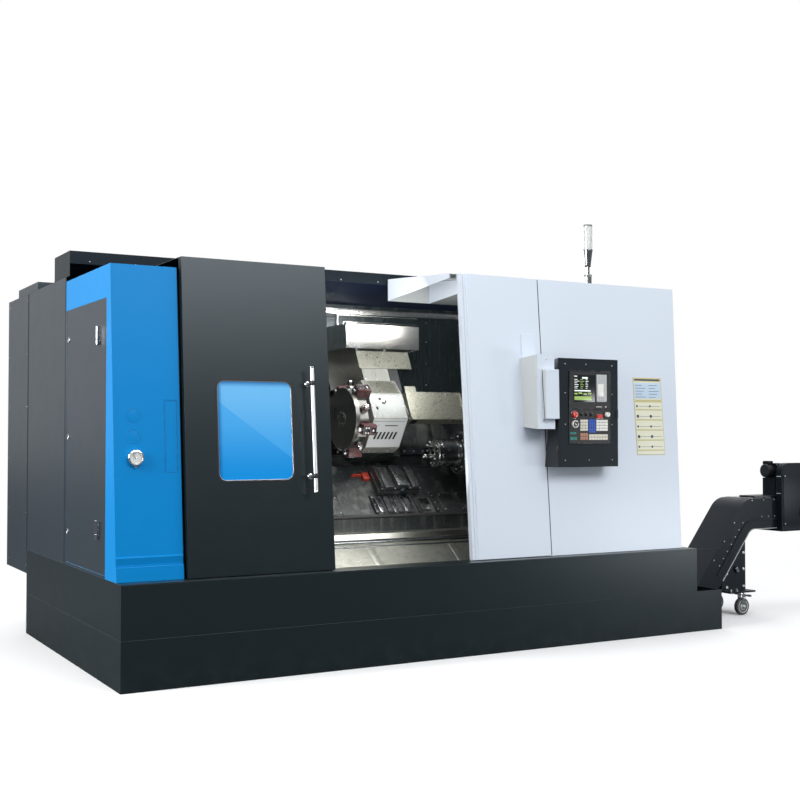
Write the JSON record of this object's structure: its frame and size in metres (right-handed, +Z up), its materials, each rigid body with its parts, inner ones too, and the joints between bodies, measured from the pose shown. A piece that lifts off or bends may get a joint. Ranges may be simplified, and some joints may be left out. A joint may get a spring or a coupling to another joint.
{
  "type": "cnc turning lathe",
  "caption": "Slant-bed turning lathe with sliding front doors, turret, sub-spindle, control box and a chip conveyor.",
  "frame": {"origin": "middle of the base's underside, on the floor", "axes": "+X along the spindle axis from the headstock end to the chip conveyor, +Y from the front to the back, +Z up"},
  "size_m": [5.7355, 2.8569, 2.85],
  "materials": {
    "graphite": "satin powder coat",
    "graphite_light": "satin powder coat",
    "blue": "satin powder coat",
    "white": "satin powder coat",
    "control": "satin powder coat",
    "cast": "painted casting",
    "steel": "brushed stainless",
    "galvanised": "galvanised sheet",
    "ground_steel": "ground steel",
    "chrome": "polished",
    "oxide": "red-brown oxide",
    "glass": "tinted glass",
    "lens": "clear lens",
    "rubber": "matt rubber",
    "black_plastic": "matt",
    "red_plastic": "gloss",
    "white_plastic": "gloss"
  },
  "bodies": {
    "frame": {"base_tray": "graphite", "upper_skirt": "graphite", "bed_casting": "cast", "bed_rails": "ground_steel", "headstock": "cast", "left_column_cover": "blue", "left_side_panel": "graphite_light", "pocket_panels": "graphite", "right_front_panel": "white", "right_end_panel": "white", "rear_panel": "graphite_light", "roof_housing": "graphite", "electrical_cabinet": "graphite_light", "liner_panels": "graphite", "chip_pan": "steel", "beacon_base": "chrome", "beacon_lens": "lens", "pressure_gauge": "white_plastic", "control_box": "control", "control_screen": "black_plastic", "control_keypad": "black_plastic", "side_door_hinges": "graphite", "conveyor_trough": "graphite", "conveyor_head": "graphite", "conveyor_motor": "graphite", "conveyor_leg": "graphite"},
    "left_door": {"left_door": "graphite", "left_door_window": "glass", "left_door_handle": "chrome"},
    "right_door": {"right_door": "white", "right_door_canopy": "white", "right_door_grip": "white"},
    "side_door": {"side_door": "graphite"},
    "cabinet_door": {"cabinet_door": "graphite_light"},
    "main_spindle": {"main_chuck": "ground_steel"},
    "sub_carriage": {"sub_spindle_housing": "cast"},
    "sub_spindle": {"sub_chuck": "ground_steel"},
    "saddle": {"saddle": "cast", "z_cover": "galvanised", "x_cover": "steel"},
    "cross_slide": {"turret_slide": "cast", "turret_housing": "white"},
    "cover_segment": {"cover_segment": "galvanised"},
    "turret": {"turret_disc": "ground_steel", "tool_holders": "oxide"},
    "lower_slide": {"lower_slide": "cast"},
    "estop": {"estop_button": "red_plastic"},
    "mpg_dial": {"mpg_dial": "white_plastic"},
    "feed_knob": {"feed_knob": "white_plastic"},
    "cycle_button": {"cycle_button": "red_plastic"},
    "main_jaw_1": {"main_jaw_1": "ground_steel"},
    "sub_jaw_1": {"sub_jaw_1": "ground_steel"},
    "main_jaw_2": {"main_jaw_2": "ground_steel"},
    "sub_jaw_2": {"sub_jaw_2": "ground_steel"},
    "main_jaw_3": {"main_jaw_3": "ground_steel"},
    "sub_jaw_3": {"sub_jaw_3": "ground_steel"},
    "caster_swivel_1": {"caster_fork_1": "chrome"},
    "caster_roll_1": {"caster_wheel_1": "rubber"},
    "caster_swivel_2": {"caster_fork_2": "chrome"},
    "caster_roll_2": {"caster_wheel_2": "rubber"}
  },
  "joints": [
    {"name": "left_door_slide", "type": "slide", "parent": "frame", "child": "left_door", "axis": [1, 0, 0], "range_m": [0, 0.4775]},
    {"name": "right_door_slide", "type": "slide", "parent": "frame", "child": "right_door", "axis": [-1, 0, 0], "range_m": [0, 0.4775]},
    {"name": "side_door_hinge", "type": "hinge", "parent": "frame", "child": "side_door", "pos_m": [-2.1105, -0.6575, 1.329], "axis": [0, 0, 1], "range_deg": [0, 110]},
    {"name": "cabinet_door_hinge", "type": "hinge", "parent": "frame", "child": "cabinet_door", "pos_m": [-0.7, 1.7298, 1.3445], "axis": [0, 0, -1], "range_deg": [0, 110]},
    {"name": "main_spindle_spin", "type": "hinge", "parent": "frame", "child": "main_spindle", "pos_m": [-0.95, -0.2425, 1.21], "axis": [1, 0, 0], "continuous": true},
    {"name": "sub_carriage_slide", "type": "slide", "parent": "frame", "child": "sub_carriage", "axis": [1, 0, 0], "range_m": [-0.04, 0.3]},
    {"name": "sub_spindle_spin", "type": "hinge", "parent": "sub_carriage", "child": "sub_spindle", "pos_m": [0.46, -0.2425, 1.21], "axis": [1, 0, 0], "continuous": true},
    {"name": "main_jaw_1_slide", "type": "slide", "parent": "main_spindle", "child": "main_jaw_1", "axis": [0, 0, 1], "range_m": [-0.008, 0.008]},
    {"name": "main_jaw_2_slide", "type": "slide", "parent": "main_spindle", "child": "main_jaw_2", "axis": [0, -0.866, -0.5], "range_m": [-0.008, 0.008]},
    {"name": "main_jaw_3_slide", "type": "slide", "parent": "main_spindle", "child": "main_jaw_3", "axis": [0, 0.866, -0.5], "range_m": [-0.008, 0.008]},
    {"name": "sub_jaw_1_slide", "type": "slide", "parent": "sub_spindle", "child": "sub_jaw_1", "axis": [0, 0, 1], "range_m": [-0.008, 0.008]},
    {"name": "sub_jaw_2_slide", "type": "slide", "parent": "sub_spindle", "child": "sub_jaw_2", "axis": [0, -0.866, -0.5], "range_m": [-0.008, 0.008]},
    {"name": "sub_jaw_3_slide", "type": "slide", "parent": "sub_spindle", "child": "sub_jaw_3", "axis": [0, 0.866, -0.5], "range_m": [-0.008, 0.008]},
    {"name": "saddle_slide", "type": "slide", "parent": "frame", "child": "saddle", "axis": [1, 0, 0], "range_m": [-0.32, 0.08]},
    {"name": "cross_slide_travel", "type": "slide", "parent": "saddle", "child": "cross_slide", "axis": [0, 0.4384, 0.8988], "range_m": [-0.05, 0.1]},
    {"name": "cover_segment_travel", "type": "slide", "parent": "saddle", "child": "cover_segment", "axis": [0, 0.4384, 0.8988], "range_m": [-0.025, 0.05]},
    {"name": "turret_index", "type": "hinge", "parent": "cross_slide", "child": "turret", "pos_m": [-0.34, -0.13071, 1.43919], "axis": [1, 0, 0], "continuous": true},
    {"name": "lower_slide_travel", "type": "slide", "parent": "frame", "child": "lower_slide", "axis": [0, 0.7071, 0.7071], "range_m": [-0.12, 0.015]},
    {"name": "estop_press", "type": "slide", "parent": "frame", "child": "estop", "axis": [0, 1, 0], "range_m": [0, 0.006]},
    {"name": "mpg_dial_turn", "type": "hinge", "parent": "frame", "child": "mpg_dial", "pos_m": [0.827, -1.1045, 1.402], "axis": [0, 1, 0], "continuous": true},
    {"name": "feed_knob_turn", "type": "hinge", "parent": "frame", "child": "feed_knob", "pos_m": [1.088, -1.1045, 1.465], "axis": [0, 1, 0], "range_deg": [-135, 135]},
    {"name": "cycle_button_press", "type": "slide", "parent": "frame", "child": "cycle_button", "axis": [0, 1, 0], "range_m": [0, 0.003], "stiffness_N_per_m": 400},
    {"name": "caster_swivel_1_turn", "type": "hinge", "parent": "frame", "child": "caster_swivel_1", "pos_m": [2.665, -0.6925, 0.165], "axis": [0, 0, 1], "continuous": true},
    {"name": "caster_roll_1_turn", "type": "hinge", "parent": "caster_swivel_1", "child": "caster_roll_1", "pos_m": [2.693, -0.6925, 0.0625], "axis": [0, 1, 0], "continuous": true},
    {"name": "caster_swivel_2_turn", "type": "hinge", "parent": "frame", "child": "caster_swivel_2", "pos_m": [2.665, -0.4325, 0.165], "axis": [0, 0, 1], "continuous": true},
    {"name": "caster_roll_2_turn", "type": "hinge", "parent": "caster_swivel_2", "child": "caster_roll_2", "pos_m": [2.693, -0.4325, 0.0625], "axis": [0, 1, 0], "continuous": true}
  ],
  "couplings": [
    {"joint": "main_jaw_2_slide", "follows": "main_jaw_1_slide", "ratio": 1},
    {"joint": "main_jaw_3_slide", "follows": "main_jaw_1_slide", "ratio": 1},
    {"joint": "sub_jaw_2_slide", "follows": "sub_jaw_1_slide", "ratio": 1},
    {"joint": "sub_jaw_3_slide", "follows": "sub_jaw_1_slide", "ratio": 1},
    {"joint": "cover_segment_travel", "follows": "cross_slide_travel", "ratio": 0.5}
  ]
}
